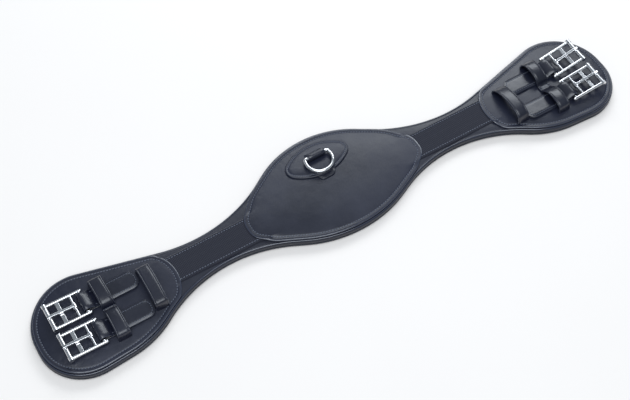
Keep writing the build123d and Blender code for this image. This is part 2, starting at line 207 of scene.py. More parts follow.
def smooth_path(points, step):
    """Catmull-Rom curve through 2-D points, evenly spaced."""
    points = np.asarray(points, float)
    ends = np.vstack([2 * points[0] - points[1], points, 2 * points[-1] - points[-2]])
    out = []
    for a, b, c, d in zip(ends, ends[1:], ends[2:], ends[3:]):
        for t in np.linspace(0, 1, 16, endpoint=False):
            out.append(0.5 * (2 * b + (c - a) * t + (2 * a - 5 * b + 4 * c - d) * t ** 2
                              + (3 * b - 3 * c + d - a) * t ** 3))
    out.append(points[-1])
    return even(out, step, closed=False)


def ease(value):
    """Smooth step from 0 to 1."""
    value = np.clip(value, 0, 1)
    return value * value * (3 - 2 * value)


# ======================================================================================
# Meshes
# ======================================================================================
def new_object(name, verts, faces, material, sharp=None, edge_faces=()):
    """A mesh object from points in millimetres, with its faces turned outward. The
    edge faces get the burnished leather of a cut edge."""
    mesh = bpy.data.meshes.new(name)
    mesh.from_pydata([tuple(v) for v in np.asarray(verts, float) * MM], [], faces)
    mesh.materials.append(material)
    if edge_faces:
        mesh.materials.append(EDGE)
        for number in edge_faces:
            mesh.polygons[number].material_index = 1
    work = bmesh.new()
    work.from_mesh(mesh)
    bmesh.ops.remove_doubles(work, verts=work.verts, dist=1e-7)
    bmesh.ops.recalc_face_normals(work, faces=work.faces)
    work.to_mesh(mesh)
    work.free()
    mesh.shade_smooth()
    if sharp:
        mesh.set_sharp_from_angle(angle=math.radians(sharp))
    piece = bpy.data.objects.new(name, mesh)
    bpy.context.scene.collection.objects.link(piece)
    return piece


def attach(piece, body, slot, *nodes):
    """Rides a finished piece on a body, and stands it in for its CAD nodes."""
    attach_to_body(piece, body)
    if nodes:
        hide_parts(*nodes)
    return piece


def gap_to(ring, x, y):
    """Distance from each point (x, y) to the nearest point of a ring."""
    gap = np.full(len(x), FAR)
    for ring_x, ring_y in ring:
        gap = np.minimum(gap, np.hypot(x - ring_x, y - ring_y))
    return gap


# Row height of the hexagonal field and its distance from the ring, in shares of its spacing.
HEX_ROW = 0.866
RING_CLEARANCE = 0.62


def filling(ring, spacing):
    """Points and triangles that fill a closed ring: a hexagonal field inside it."""
    lo, hi = ring.min(0), ring.max(0)
    field = []
    for row, y in enumerate(np.arange(lo[1], hi[1], spacing * HEX_ROW)):
        for x in np.arange(lo[0] + (row % 2) * spacing / 2, hi[0], spacing):
            field.append((x, y))
    field = np.array(field)
    ahead = np.roll(ring, -1, axis=0)
    inside = np.zeros(len(field), bool)
    for (x0, y0), (x1, y1) in zip(ring, ahead):
        crosses = (y0 > field[:, 1]) != (y1 > field[:, 1])
        with np.errstate(divide="ignore", invalid="ignore"):
            cut = (x1 - x0) * (field[:, 1] - y0) / (y1 - y0) + x0
        inside ^= crosses & (field[:, 0] < cut)
    field = field[inside]
    field = field[gap_to(ring, field[:, 0], field[:, 1]) > spacing * RING_CLEARANCE]
    points = [Vector(p) for p in ring] + [Vector(p) for p in field]
    border = [(i, (i + 1) % len(ring)) for i in range(len(ring))]
    out, _, triangles, sources, _, _ = geometry.delaunay_2d_cdt(points, border, [], 1, 1e-6)
    home = []
    for point, source in zip(out, sources):
        gaps = (ring[:, 0] - point.x) ** 2 + (ring[:, 1] - point.y) ** 2
        home.append(min(source) if source else int(np.argmin(gaps)))
    return field, [tuple(home[i] for i in triangle) for triangle in triangles]


def plate(name, loop, profile, material, spacing, top=None, lift=None, burnished=()):
    """A padded sheet: rings at (inset, z) from the underside's middle, out round the edge
    and back in over the top, both ends filled. top(x, y, d) gives the upper filling's
    height, d being the distance in from the last ring, and lift(x, y, z) is added
    everywhere. The bands that end at the burnished rings of the profile are a cut edge."""
    count = len(loop)
    verts, faces, edge_faces = [], [], []
    for ring, (inset, z) in enumerate(profile):
        points = inset_loop(loop, inset)
        verts += [(x, y, z) for x, y in points]
        if ring:
            a, b = (ring - 1) * count, ring * count
            if ring in burnished:
                edge_faces += range(len(faces), len(faces) + count)
            faces += [(a + i, a + (i + 1) % count, b + (i + 1) % count, b + i)
                      for i in range(count)]
    for ring, closing in ((0, None), (len(profile) - 1, top)):
        inset, z = profile[ring]
        edge = inset_loop(loop, inset)
        field, triangles = filling(edge, spacing)
        start = len(verts)
        if closing is None:
            heights = np.full(len(field), z)
        else:
            x, y = field[:, 0], field[:, 1]
            heights = closing(x, y, gap_to(edge, x, y))
        verts += [(x, y, h) for (x, y), h in zip(field, heights)]
        index = [ring * count + i for i in range(count)] + [start + i for i in range(len(field))]
        faces += [tuple(index[i] for i in triangle) for triangle in triangles]
    verts = np.array(verts)
    if lift is not None:
        verts[:, 2] += lift(*verts.T)
    return new_object(name, verts, faces, material, edge_faces=edge_faces)


# Swelling is eased off over this height below the ceiling, in metres.
SOFT_CEILING = 0.0012


def inflate(piece, movable, pressure, ceiling, reach, frames=20):
    """Swells the movable vertices by cloth pressure; the rest is the sewn-down edge.
    The result is eased off under the ceiling height and applied to the mesh."""
    scene = bpy.context.scene
    mesh = piece.data
    rest = np.zeros(len(mesh.vertices) * 3)
    mesh.vertices.foreach_get("co", rest)
    rest = rest.reshape(-1, 3)
    free = movable(rest / MM)
    group = piece.vertex_groups.new(name="sewn")
    group.add([int(i) for i in np.nonzero(~free)[0]], 1.0, "REPLACE")
    cloth = piece.modifiers.new("swell", "CLOTH")
    settings = cloth.settings
    settings.quality = 6
    settings.mass = 0.3
    settings.tension_stiffness = settings.compression_stiffness = 18
    settings.shear_stiffness = 8
    settings.bending_stiffness = 1.2
    settings.use_pressure = True
    settings.uniform_pressure_force = pressure
    settings.vertex_group_mass = "sewn"
    settings.effector_weights.gravity = 0
    cloth.collision_settings.use_collision = False
    cloth.point_cache.frame_start, cloth.point_cache.frame_end = 1, frames
    for number in range(1, frames + 1):
        scene.frame_set(number)
    shaped = piece.evaluated_get(bpy.context.evaluated_depsgraph_get()).to_mesh()
    swollen = np.zeros(len(mesh.vertices) * 3)
    shaped.vertices.foreach_get("co", swollen)
    move = swollen.reshape(-1, 3) - rest
    piece.modifiers.remove(cloth)
    piece.vertex_groups.clear()
    scene.frame_set(1)
    size = np.linalg.norm(move, axis=1)
    print(piece.name, "swelled by", round(float(size.max() / MM), 2), "mm")
    move *= np.minimum(1, reach * MM / np.maximum(size, 1e-9))[:, None]
    raised = rest + move * free[:, None]
    top = ceiling * MM
    shoulder = top - SOFT_CEILING
    over = raised[:, 2] > shoulder
    raised[over, 2] = top - SOFT_CEILING * np.exp(-(raised[over, 2] - shoulder) / SOFT_CEILING)
    mesh.vertices.foreach_set("co", raised.ravel())
    mesh.update()


STRAP_BEVEL = 0.42
CREASE_HALF = 0.35
CREASE_DEPTH = 0.22


def ribbon(name, path, width, thick, place, material, half_width=None, groove=1.7, waver=None):
    """A leather strap: a bevelled, creased section swept along a 2-D path. place maps
    (along the width, path u, path v) to a point. groove is the crease's distance from the
    edge, half_width narrows the strap towards a tip and waver shifts it sideways."""
    path = np.asarray(path)
    ahead = np.gradient(path, axis=0)
    ahead /= np.linalg.norm(ahead, axis=1)[:, None]
    normal = np.column_stack([-ahead[:, 1], ahead[:, 0]])
    half, t, bevel = width / 2, thick / 2, STRAP_BEVEL
    side = [(half, -t + bevel), (half, t - bevel), (half - bevel, t)]
    crease = [
        (half - groove + CREASE_HALF, t),
        (half - groove, t - CREASE_DEPTH),
        (half - groove - CREASE_HALF, t),
    ]
    crown = [(half * 0.5, t + 0.06), (0, t + 0.1)]
    right = side + crease + crown
    section = right + [(-w, n) for w, n in reversed(right[:-1])]
    section += [(w, -t) for w in (-half + bevel, -half * 0.5, 0, half * 0.5, half - bevel)]
    edge_bands = (0, 1, 2 * len(right) - 3, 2 * len(right) - 2)
    verts, faces = [], []
    for i, (point, away) in enumerate(zip(path, normal)):
        share = 1.0 if half_width is None else half_width[i] / half
        for w, n in section:
            u, v = point + away * n
            across = w * share + (0 if waver is None else waver[i])
            verts.append(place(across, u, v))
    count = len(section)
    edge_faces = []
    for i in range(len(path) - 1):
        a, b = i * count, (i + 1) * count
        for k in range(count):
            if k in edge_bands:
                edge_faces.append(len(faces))
            faces.append((a + k, a + (k + 1) % count, b + (k + 1) % count, b + k))
    faces.append(tuple(range(count)))
    faces.append(tuple(range(len(verts) - count, len(verts))))
    return new_object(name, verts, faces, material, sharp=50, edge_faces=edge_faces)


def surface(piece):
    """Height of a piece's upper side over (x, y), in millimetres."""
    tree = BVHTree.FromObject(piece, bpy.context.evaluated_depsgraph_get())

    def height(x, y, fallback=COVER_TOP):
        """Where a ray from above meets the piece, or the fallback beside it."""
        hit = tree.ray_cast(Vector((x * MM, y * MM, 0.1)), Vector((0, 0, -1)))[0]
        return fallback if hit is None else hit.z / MM

    return height


# A stitch's rings along its length: (share of the length, share of the radius).
STITCH_RINGS = [(-0.5, 0.25), (-0.42, 0.8), (-0.2, 1.0), (0.2, 1.0), (0.42, 0.8), (0.5, 0.25)]
STITCH_SIDES = 8


def stitches(name, points, normals, material, pitch=STITCH_PITCH, size=STITCH_SIZE, slant=9.0,
             closed=True):
    """A row of raised thread stitches along 3-D points. size is a stitch's length and
    radius, and its ends dip into the leather."""
    run = even(np.hstack([points, normals]), pitch, closed)
    middle = run[:, :3]
    step = np.roll(middle, -1, axis=0) - np.roll(middle, 1, axis=0)
    if not closed:
        step[0], step[-1] = middle[1] - middle[0], middle[-1] - middle[-2]
    length, radius = size
    rings, around = STITCH_RINGS, STITCH_SIDES
    verts, faces = [], []
    for centre, ahead, up in zip(middle, step, run[:, 3:]):
        up = up / np.linalg.norm(up)
        ahead = ahead / np.linalg.norm(ahead)
        across = np.cross(up, ahead)
        angle = math.radians(slant + RNG.normal(0, 1.2))
        ahead, across = (ahead * math.cos(angle) + across * math.sin(angle),
                         across * math.cos(angle) - ahead * math.sin(angle))
        start = len(verts)
        for share, swell in rings:
            hub = centre + ahead * length * share + up * radius * (0.28 - 2.2 * share ** 4)
            for k in range(around):
                turn = 2 * math.pi * k / around
                away = across * math.cos(turn) + 0.8 * up * math.sin(turn)
                verts.append(hub + radius * swell * away)
        for r in range(len(rings) - 1):
            a, b = start + r * around, start + (r + 1) * around
            faces += [(a + k, a + (k + 1) % around, b + (k + 1) % around, b + k)
                      for k in range(around)]
        stop = start + len(rings) * around
        faces.append(tuple(range(start, start + around)))
        faces.append(tuple(range(stop - around, stop)))
    return new_object(name, verts, faces, material)


def row_over(height, loop, z_offset=0.0):
    """A stitch row's points and upright normals, laid on a surface."""
    points = np.array([(x, y, height(x, y) + z_offset) for x, y in loop])
    normals = np.tile((0.0, 0.0, 1.0), (len(points), 1))
    return points, normals


# ======================================================================================
# Materials
# ======================================================================================
def new_material(name, colour, roughness, metallic=0.0, **inputs):
    """A plain shader; further inputs are given with _ for the spaces in their names."""
    material = bpy.data.materials.new(name)
    material.use_nodes = True
    shader = material.node_tree.nodes["Principled BSDF"]
    shader.inputs["Base Color"].default_value = (*colour, 1)
    shader.inputs["Roughness"].default_value = roughness
    shader.inputs["Metallic"].default_value = metallic
    for key, value in inputs.items():
        shader.inputs[key.replace("_", " ")].default_value = value
    return material, material.node_tree, shader


def texture(tree, kind, coordinates, **values):
    """A texture node with its inputs or settings filled in."""
    node = tree.nodes.new(kind)
    tree.links.new(coordinates, node.inputs["Vector"])
    for key, value in values.items():
        if key in node.inputs:
            node.inputs[key].default_value = value
        else:
            setattr(node, key, value)
    return node


def ramp(tree, source, stops):
    """A colour ramp over a source, from (position, colour) stops."""
    node = tree.nodes.new("ShaderNodeValToRGB")
    node.color_ramp.elements[0].position, node.color_ramp.elements[0].color = stops[0]
    node.color_ramp.elements[1].position, node.color_ramp.elements[1].color = stops[-1]
    for position, colour in stops[1:-1]:
        node.color_ramp.elements.new(position).color = colour
    tree.links.new(source, node.inputs["Fac"])
    return node


def grey(value):
    """An opaque grey of one value."""
    return (value, value, value, 1)


def shades(colour, first, last):
    """Ramp stops from a darker to a paler shade of a colour, each (position, factor)."""
    return [(position, (*[c * factor for c in colour], 1)) for position, factor in (first, last)]


def bump(tree, source, distance, strength=1.0, before=None):
    """A bump node, laid over the one before it."""
    node = tree.nodes.new("ShaderNodeBump")
    node.inputs["Distance"].default_value = distance
    node.inputs["Strength"].default_value = strength
    tree.links.new(source, node.inputs["Height"])
    if before is not None:
        tree.links.new(before.outputs["Normal"], node.inputs["Normal"])
    return node


def leather(name, colour, roughness, grain=1100.0, depth=0.00005, gloss=0.0, creases=0.0):
    """Grained leather: pebbled cells, soft undulation, blotchy colour, and edges paled by wear and
    a painted highlight.
    """
    material, tree, shader = new_material(name, colour, roughness)
    where = tree.nodes.new("ShaderNodeTexCoord").outputs["Object"]
    cells = texture(tree, "ShaderNodeTexVoronoi", where, feature="SMOOTH_F1", Scale=grain,
                    Smoothness=0.6)
    pores = texture(tree, "ShaderNodeTexNoise", where, Scale=grain * 1.9, Detail=3.0)
    waves = texture(tree, "ShaderNodeTexNoise", where, Scale=42.0, Detail=4.0, Roughness=0.55)
    blotch = texture(tree, "ShaderNodeTexNoise", where, Scale=16.0, Detail=5.0, Roughness=0.6)
    soft = bump(tree, waves.outputs["Fac"], 0.0012 + creases * 0.001, 0.35)
    pebble = bump(tree, cells.outputs["Distance"], depth, 0.8, soft)
    fine = bump(tree, pores.outputs["Fac"], depth * 0.6, 0.6, pebble)
    tree.links.new(fine.outputs["Normal"], shader.inputs["Normal"])
    tone = ramp(tree, blotch.outputs["Fac"], shades(colour, (0.32, 0.78), (0.68, 1.28)))
    # Convex edges get a paler base colour: partly wear, partly a painted highlight along the edges.
    edge = tree.nodes.new("ShaderNodeNewGeometry")
    wear_and_edge_highlight = ramp(tree, edge.outputs["Pointiness"], [(0.53, grey(0)), (0.62, grey(0.35))])
    mix = tree.nodes.new("ShaderNodeMix")
    mix.data_type = "RGBA"
    tree.links.new(wear_and_edge_highlight.outputs["Color"], mix.inputs["Factor"])
    tree.links.new(tone.outputs["Color"], mix.inputs["A"])
    mix.inputs["B"].default_value = (*[min(1, c * 2.6 + 0.01) for c in colour], 1)
    tree.links.new(mix.outputs["Result"], shader.inputs["Base Color"])
    rough = ramp(tree, blotch.outputs["Fac"],
                 [(0.3, grey(roughness - 0.06)), (0.7, grey(roughness + 0.07))])
    tree.links.new(rough.outputs["Color"], shader.inputs["Roughness"])
    if gloss:
        shader.inputs["Coat Weight"].default_value = gloss
        shader.inputs["Coat Roughness"].default_value = 0.22
    return material


def webbing_material():
    """Close-woven black webbing: weft and warp bump under a faint sheen."""
    colour = (0.0105, 0.0120, 0.0235)
    material, tree, shader = new_material("webbing", colour, 0.78, Sheen_Weight=0.35,
                                          Sheen_Roughness=0.4)
    where = tree.nodes.new("ShaderNodeTexCoord").outputs["Object"]
    weft = texture(tree, "ShaderNodeTexWave", where, bands_direction="X", Scale=190.0,
                   Distortion=0.6, Detail=1.0)
    warp = texture(tree, "ShaderNodeTexWave", where, bands_direction="Y", Scale=240.0,
                   Distortion=0.4, Detail=1.0)
    fuzz = texture(tree, "ShaderNodeTexNoise", where, Scale=2400.0, Detail=2.0)
    first = bump(tree, weft.outputs["Fac"], 0.00022, 0.9)
    second = bump(tree, warp.outputs["Fac"], 0.00018, 0.8, first)
    third = bump(tree, fuzz.outputs["Fac"], 0.00008, 0.7, second)
    tree.links.new(third.outputs["Normal"], shader.inputs["Normal"])
    tone = ramp(tree, weft.outputs["Fac"], shades(colour, (0.2, 0.55), (0.9, 1.6)))
    tree.links.new(tone.outputs["Color"], shader.inputs["Base Color"])
    return material


def thread_material():
    """Dark twisted thread, a little paler than the leather."""
    colour = (0.110, 0.124, 0.168)
    material, tree, shader = new_material("thread", colour, 0.6, Sheen_Weight=0.2)
    where = tree.nodes.new("ShaderNodeTexCoord").outputs["Object"]
    ply = texture(tree, "ShaderNodeTexWave", where, bands_direction="DIAGONAL", Scale=900.0,
                  Distortion=1.0)
    twist = bump(tree, ply.outputs["Fac"], 0.00008)
    tree.links.new(twist.outputs["Normal"], shader.inputs["Normal"])
    tone = ramp(tree, ply.outputs["Fac"], shades(colour, (0.2, 0.6), (0.8, 1.5)))
    tree.links.new(tone.outputs["Color"], shader.inputs["Base Color"])
    return material


def steel_material():
    """Bright polished stainless steel with faint polishing marks."""
    material, tree, shader = new_material("polished_steel", (0.82, 0.82, 0.83), 0.16, 1.0)
    where = tree.nodes.new("ShaderNodeTexCoord").outputs["Object"]
    marks = texture(tree, "ShaderNodeTexNoise", where, Scale=420.0, Detail=5.0, Roughness=0.7)
    swirl = texture(tree, "ShaderNodeTexNoise", where, Scale=90.0, Detail=3.0)
    rough = ramp(tree, marks.outputs["Fac"], [(0.3, grey(0.11)), (0.75, grey(0.24))])
    tone = ramp(tree, swirl.outputs["Fac"],
                [(0.3, (0.70, 0.70, 0.72, 1)), (0.7, (0.88, 0.88, 0.89, 1))])
    scratch = bump(tree, marks.outputs["Fac"], 0.00004, 0.5)
    tree.links.new(rough.outputs["Color"], shader.inputs["Roughness"])
    tree.links.new(tone.outputs["Color"], shader.inputs["Base Color"])
    tree.links.new(scratch.outputs["Normal"], shader.inputs["Normal"])
    return material


PANEL = leather("panel_leather", (0.0098, 0.0122, 0.0262), 0.37, grain=1250.0, depth=0.00004)
COVER = leather("cover_leather", (0.0078, 0.0096, 0.0212), 0.38, grain=1000.0, depth=0.00006)
STRAP = leather("strap_leather", (0.0074, 0.0090, 0.0196), 0.32, grain=900.0, depth=0.00007,
                gloss=0.35, creases=1.0)
LINING = leather("lining_leather", (0.0100, 0.0130, 0.0230), 0.48, grain=750.0, depth=0.00009)
EDGE, _, _ = new_material("burnished_edge", (0.032, 0.038, 0.062), 0.20, Coat_Weight=0.8,
                          Coat_Roughness=0.12)
WEB = webbing_material()
THREAD = thread_material()
STEEL = steel_material()


# ======================================================================================
# Padded body
# ======================================================================================
# Sections: (inset from the plan's edge, height), out over the underside and back on top.
LINING_SECTION = [(14, 0.0), (9, 0.0), (5.6, 0.02), (5.2, 0.28), (4.8, 0.3), (4.4, 0.05),
                  (3.0, 0.05), (1.7, 0.3), (0.8, 0.85), (0.22, 1.7), (0.0, 2.6), (0.18, 3.5),
                  (0.75, 4.15), (1.7, 4.4), (5, 4.4)]
COVER_SECTION = [(12, 4.45), (4, 4.45), (1.8, 4.5), (0.95, 4.7), (0.35, 5.15), (0.05, 5.9),
                 (0.0, 6.8), (0.12, 7.8), (0.45, 8.8), (0.95, 9.5), (1.5, 9.86), (1.95, 9.88),
                 (2.35, 9.66), (2.7, 9.46), (3.3, 9.42), (4.5, 9.6), (7, 9.85), (10, COVER_TOP)]
COVER_EDGE = (10, 11)
LINING_SEAM_INSET = 5.0
LINING_SEAM_HEIGHT = 0.2


def make_body():
    """Padded cover over the soft lining, with the lining's stitched channel."""
    loop = mirrored_loop(HALF_LENGTH, BODY_FRONT, BODY_REAR, 1.8)
    lining = plate("soft_lining", loop, LINING_SECTION, LINING, 9.0)
    attach(lining, "girth", "lining_leather", "lining")
    cover = plate("padded_cover", loop, COVER_SECTION, COVER, 7.0, burnished=COVER_EDGE)
    attach(cover, "girth", "cover_leather", "base_cover", "foam_core")
    under = inset_loop(loop, LINING_SEAM_INSET)
    points = np.column_stack([under, np.full(len(under), LINING_SEAM_HEIGHT)])
    normals = np.tile((0.0, 0.0, -1.0), (len(points), 1))
    seam = stitches("lining_stitching", points, normals, THREAD, size=(2.3, 0.26))
    attach(seam, "girth", "lining_leather")


WEFT_PITCH = 1.25
RIBS = 15
RIB_STEPS = 5
RIB_DEPTH = 0.24
WEAVE_HEIGHT = 0.05
WEB_EDGE_HEIGHT = 0.35
WEB_EDGE_WIDTH = 1.4
WEB_SEAM_INSET = 3.2
WEB_SEAM_END = 60


def make_webbing():
    """Ribbed load strap with stitched edges."""
    length = 2 * WEB_HALF
    picks = int(length / WEFT_PITCH)
    along = np.arange(0, picks + 1) / picks * length - WEB_HALF
    width = WEB_FRONT - WEB_REAR
    shares = np.linspace(0, 1, RIBS * RIB_STEPS + 1)
    across = WEB_REAR + shares * width
    rib = np.abs(np.sin(shares * RIBS * math.pi)) ** 0.7
    edge = ease(np.minimum(shares, 1 - shares) * width / WEB_EDGE_WIDTH)
    top = COVER_TOP + WEB_EDGE_HEIGHT + (WEB_TOP - COVER_TOP - WEB_EDGE_HEIGHT) * edge
    verts, faces = [], []
    for i, x in enumerate(along):
        weave = WEAVE_HEIGHT * (1 if i % 2 else -1)
        for y, z, r in zip(across, top, rib):
            verts.append((x, y, z - RIB_DEPTH * (1 - r) + weave * r - WEAVE_HEIGHT))
    rows, columns = len(along), len(across)
    for i in range(rows - 1):
        for k in range(columns - 1):
            a = i * columns + k
            faces.append((a, a + columns, a + columns + 1, a + 1))
    base = len(verts)
    border = [i * columns for i in range(rows)]
    border += [(rows - 1) * columns + k for k in range(1, columns)]
    border += [i * columns + columns - 1 for i in range(rows - 2, -1, -1)]
    border += [k for k in range(columns - 2, 0, -1)]
    verts += [(verts[i][0], verts[i][1], COVER_TOP - 0.1) for i in border]
    count = len(border)
    faces += [(border[i], border[(i + 1) % count], base + (i + 1) % count, base + i)
              for i in range(count)]
    faces.append(tuple(range(base + count - 1, base - 1, -1)))
    strap = new_object("webbing", verts, faces, WEB, sharp=60)
    attach(strap, "girth", "web", "webbing_strap")
    height = surface(strap)
    seam_half = WEB_HALF - WEB_SEAM_END
    for name, y in (("front", WEB_FRONT - WEB_SEAM_INSET), ("rear", WEB_REAR + WEB_SEAM_INSET)):
        line = [(x, y) for x in np.arange(-seam_half, seam_half, 2.0)]
        points, normals = row_over(height, line, 0.1)
        seam = stitches(f"webbing_stitching_{name}", points, normals, THREAD, closed=False,
                        slant=4.0)
        attach(seam, "girth", "web")


# ======================================================================================
# Padded panels
# ======================================================================================
RIM_TOP = 12.75
RIM = [(7, 10.06), (2.0, 10.06), (0.5, 10.08), (0.12, 10.3), (0.0, 10.75), (0.0, 11.2),
       (0.22, 11.62), (0.62, 11.9), (1.2, 12.04), (2.6, 12.02), (3.7, 11.92), (4.2, 11.75),
       (4.6, 11.66), (5.0, 11.76), (5.5, 12.0), (6.4, 12.25), (7.8, 12.5), (9.5, RIM_TOP)]
RIM_EDGE = (4, 5, 6, 7, 8)
WEB_LIFT_SIDE = 4.0
WEB_LIFT_END = 7.0
CROWN_RUN = 26.0
SEWN_HEIGHT = 11.7
SEWN_WIDTH = 6.0


def over_webbing(x, y, z):
    """How far the webbing lifts what lies over it; padding evens it out higher up."""
    near = ease((WEB_FRONT - WEB_MID + WEB_LIFT_SIDE - np.abs(y - WEB_MID)) / WEB_LIFT_SIDE)
    near = near * ease((WEB_HALF + WEB_LIFT_END - np.abs(x)) / WEB_LIFT_END)
    return (WEB_TOP - COVER_TOP) * near * np.clip((13.0 - z) / 2.0, 0, 1)


def make_panel(name, loop, ceiling, swell, slot, nodes, spacing=3.4):
    """A padded leather panel whose stitched-in middle is swollen by cloth pressure."""
    def crown(x, y, gap):
        """Height of the upper side before the cloth swells it, or of the whole crown."""
        return RIM_TOP + ((0.4 * swell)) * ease(gap / CROWN_RUN)

    panel = plate(name, loop, RIM, PANEL, spacing, top=crown, lift=over_webbing,
                  burnished=RIM_EDGE)

    def movable(points):
        """Vertices of the upper side, inside the stitch line."""
        gap = gap_to(loop[::2], points[:, 0], points[:, 1])
        return (points[:, 2] > SEWN_HEIGHT) & (gap > SEWN_WIDTH)

    inflate(panel, movable, pressure=4.0, ceiling=ceiling, reach=6.0)
    attach(panel, "girth", slot, *nodes)
    height = surface(panel)
    points, normals = row_over(height, inset_loop(loop, STITCH_INSET), 0.12)
    seam = stitches(name + "_stitching", points, normals, THREAD)
    attach(seam, "girth", slot)
    return panel


# ======================================================================================
# Dee ring and its patch
# ======================================================================================
PATCH_THICK = 1.7
PATCH_SECTION = [(3, 0.0), (0.6, 0.0), (0.1, 0.25), (0.0, 0.6), (0.08, 1.15), (0.4, 1.5),
                 (1.0, PATCH_THICK), (2.1, PATCH_THICK), (2.7, PATCH_THICK - 0.2),
                 (3.1, PATCH_THICK - 0.34), (3.5, PATCH_THICK - 0.2), (4.0, PATCH_THICK)]
PATCH_SEAM_INSET = 3.1
TAB_THICK = 1.45
TAB_SECTION = [(3, 0.0), (0.5, 0.0), (0.1, 0.2), (0.0, 0.5), (0.1, 1.0), (0.45, 1.3), (1.2, 1.42),
               (3, TAB_THICK)]
TAB_LENGTH = 14.0
TAB_ROUND = 6.5
TAB_CORNER = 2.0
DEE_BAR_HOLE = 2.06
DEE_CHAPE_THICK = 1.6
SLIT_AHEAD = 5.2


def make_dee(panel):
    """Leaf-shaped patch, the rounded tab under the ring, and the loop round the ring's bar."""
    height = surface(panel)

    def laid_on(gap):
        """A lift that lays a plate on the panel, a small gap above it."""
        return lambda x, y, z: np.array([height(a, b) for a, b in zip(x, y)]) + gap

    loop = leaf_loop(PATCH_HALF, PATCH_FRONT, PATCH_REAR, 1.2)
    patch = plate("dee_patch_leather", loop, PATCH_SECTION, PANEL, 3.0,
                  top=lambda x, y, gap: PATCH_THICK + 0.1 + 0.25 * ease(gap / 8.0),
                  lift=laid_on(0.05))
    attach(patch, "girth", "panel_leather", "dee_patch")
    on_patch = surface(patch)
    points, normals = row_over(on_patch, inset_loop(loop, PATCH_SEAM_INSET), 0.12)
    seam = stitches("dee_patch_stitching", points, normals, THREAD, pitch=2.6, size=(1.9, 0.36))
    attach(seam, "girth", "panel_leather")

    half, near = high("dee_tab", 0), low("dee_tab", 1)
    far = near + TAB_LENGTH
    tab_loop = rounded_loop([(half, near, TAB_ROUND), (half, far, TAB_CORNER),
                             (-half, far, TAB_CORNER), (-half, near, TAB_ROUND)], 0.9)
    tab = plate("dee_tab_leather", tab_loop, TAB_SECTION, STRAP, 2.5,
                top=lambda x, y, gap: np.full(len(x), TAB_THICK), lift=laid_on(0.03))
    attach(tab, "girth", "panel_leather", "dee_tab")

    bar = HINGES["dee_ring_fold"]
    wrap = DEE_BAR_HOLE + DEE_CHAPE_THICK / 2
    slit_y, slit_z = bar[1] + SLIT_AHEAD, on_patch(0, bar[1] + 6.0)
    path = [(slit_y + 3.0, slit_z - 1.0), (slit_y, slit_z + 0.6)]
    path += [(bar[1] + wrap * math.cos(a), bar[2] + wrap * math.sin(a))
             for a in np.radians([52, 80, 110, 140, 170, 200, 230, 260, 285])]
    path += [(slit_y - 1.2, slit_z + 0.3), (slit_y + 2.0, slit_z - 1.2)]
    curve = smooth_path(path, 0.45)
    width = high("dee_chape", 0) - low("dee_chape", 0)
    chape = ribbon("dee_chape_leather", curve, width, DEE_CHAPE_THICK,
                   lambda w, u, v: (w, u, v), STRAP, groove=1.5)
    attach(chape, "girth", "strap_leather", "dee_chape")


# ======================================================================================
# Buckle chapes and keepers
# ======================================================================================
CHAPE_THICK = 1.1
CHAPE_WRAP = 3.5
CHAPE_OUTER = 4.16
TAIL_CORNER = 8.5
TAIL_SEAM_INSET = 2.7
TAIL_SEAM_CORNER = 6.5
TAIL_SEAM_START = 11.0


def make_chape(node):
    """Strap folded round a buckle's inner bar, its two layers stitched together."""
    tag = node[len("chape_"):]
    bar = HINGES["buckle_fold_" + tag]
    side = ENDS[tag.split("_")[0]]
    reach = high(node, 0) - low(node, 0) - CHAPE_OUTER
    floor = END_TOP - bar[2]
    lower, upper = floor + CHAPE_THICK / 2 + 0.03, floor + CHAPE_THICK * 1.5 + 0.06
    path = [(-reach, lower), (-reach * 0.6, lower), (-15, lower), (-7, lower + 0.02)]
    path += [(CHAPE_WRAP * math.cos(a), CHAPE_WRAP * math.sin(a))
             for a in np.radians([-85, -60, -30, 0, 30, 60, 90])]
    path += [(-3.2, 2.75), (-6.6, 1.15), (-9.8, -0.75), (-13.4, -1.85), (-18, upper),
             (-reach * 0.6, upper), (-reach, upper)]
    curve = smooth_path(path, 0.7)
    width = high(node, 1) - low(node, 1)
    half = np.full(len(curve), width / 2)
    for i, (u, _) in enumerate(curve):
        depth = TAIL_CORNER - (u + reach)
        if depth > 0:
            chord = math.sqrt(max(TAIL_CORNER ** 2 - depth ** 2, 0.4))
            half[i] = width / 2 - TAIL_CORNER + chord
    strap = ribbon("strap_" + node, curve, width, CHAPE_THICK,
                   lambda w, u, v: (bar[0] + side * u, bar[1] + w, bar[2] + v), STRAP,
                   half_width=half)
    attach(strap, "girth", "strap_leather", node)
    edge = width / 2 - TAIL_SEAM_INSET
    turn_x = -reach + TAIL_SEAM_INSET + TAIL_SEAM_CORNER
    line = [(bar[0] - side * TAIL_SEAM_START, bar[1] + edge)]
    for part, first in ((1, 0), (-1, math.pi / 2)):
        for a in np.linspace(first, first + math.pi / 2, 8):
            x = turn_x - TAIL_SEAM_CORNER * math.sin(a)
            y = part * (edge - TAIL_SEAM_CORNER) + TAIL_SEAM_CORNER * math.cos(a)
            line.append((bar[0] + side * x, bar[1] + y))
    line.append((bar[0] - side * TAIL_SEAM_START, bar[1] - edge))
    line = even(line, 1.0, closed=False)
    points, normals = row_over(surface(strap), line, 0.08)
    seam = stitches(node + "_stitching", points, normals, THREAD, pitch=2.7, size=(2.0, 0.36),
                    closed=False)
    attach(seam, "girth", "strap_leather")


